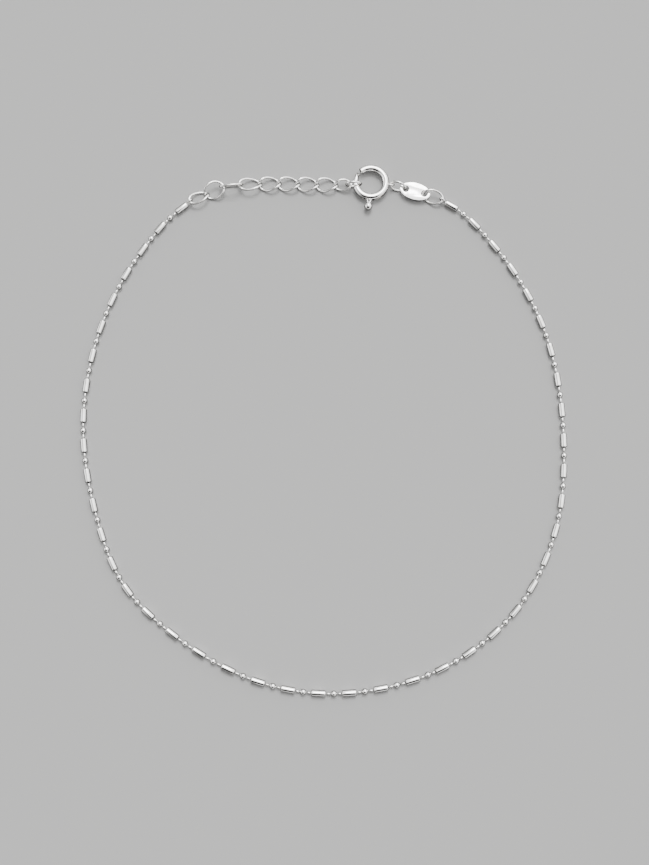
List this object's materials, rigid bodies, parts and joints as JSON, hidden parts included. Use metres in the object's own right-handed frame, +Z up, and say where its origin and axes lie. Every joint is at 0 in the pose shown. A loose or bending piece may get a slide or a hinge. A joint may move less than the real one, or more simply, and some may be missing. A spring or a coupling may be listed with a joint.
{
  "type": "anklet",
  "caption": "Silver anklet of alternating tube and ball beads, closed by a spring ring through an extender of oval links, with a bare oval tag, lying in a loop.",
  "frame": {"origin": "middle of the bounding box, on the surface that the anklet lies on", "axes": "+Z up from the surface, +Y along the loop's longer way towards the clasp, +X to the tag's side of the clasp"},
  "size_m": [0.0774, 0.0856, 0.0023],
  "materials": {
    "chain_silver": "polished silver",
    "clasp_silver": "polished silver",
    "tag_silver": "softly polished silver"
  },
  "bodies": {
    "anklet": {"bead_chain_right": "chain_silver", "bead_chain_left": "chain_silver", "extender_link_01": "chain_silver", "extender_link_02": "chain_silver", "extender_link_03": "chain_silver", "extender_link_04": "chain_silver", "extender_link_05": "chain_silver", "extender_link_06": "chain_silver", "extender_link_07": "chain_silver", "extender_link_08": "chain_silver", "extender_link_09": "chain_silver", "extender_link_10": "chain_silver", "clasp_link": "chain_silver", "tag_link": "chain_silver", "clasp_ring": "clasp_silver", "tag_plate": "tag_silver"},
    "trigger": {"clasp_trigger": "clasp_silver"}
  },
  "joints": [
    {"name": "trigger_slide", "type": "hinge", "parent": "anklet", "child": "trigger", "pos_m": [0.00784, 0.03972, 0.00085], "axis": [0, 0, 1], "range_deg": [0, 52], "stiffness_Nm_per_rad": 0.0005, "springref_deg": -11.46}
  ]
}
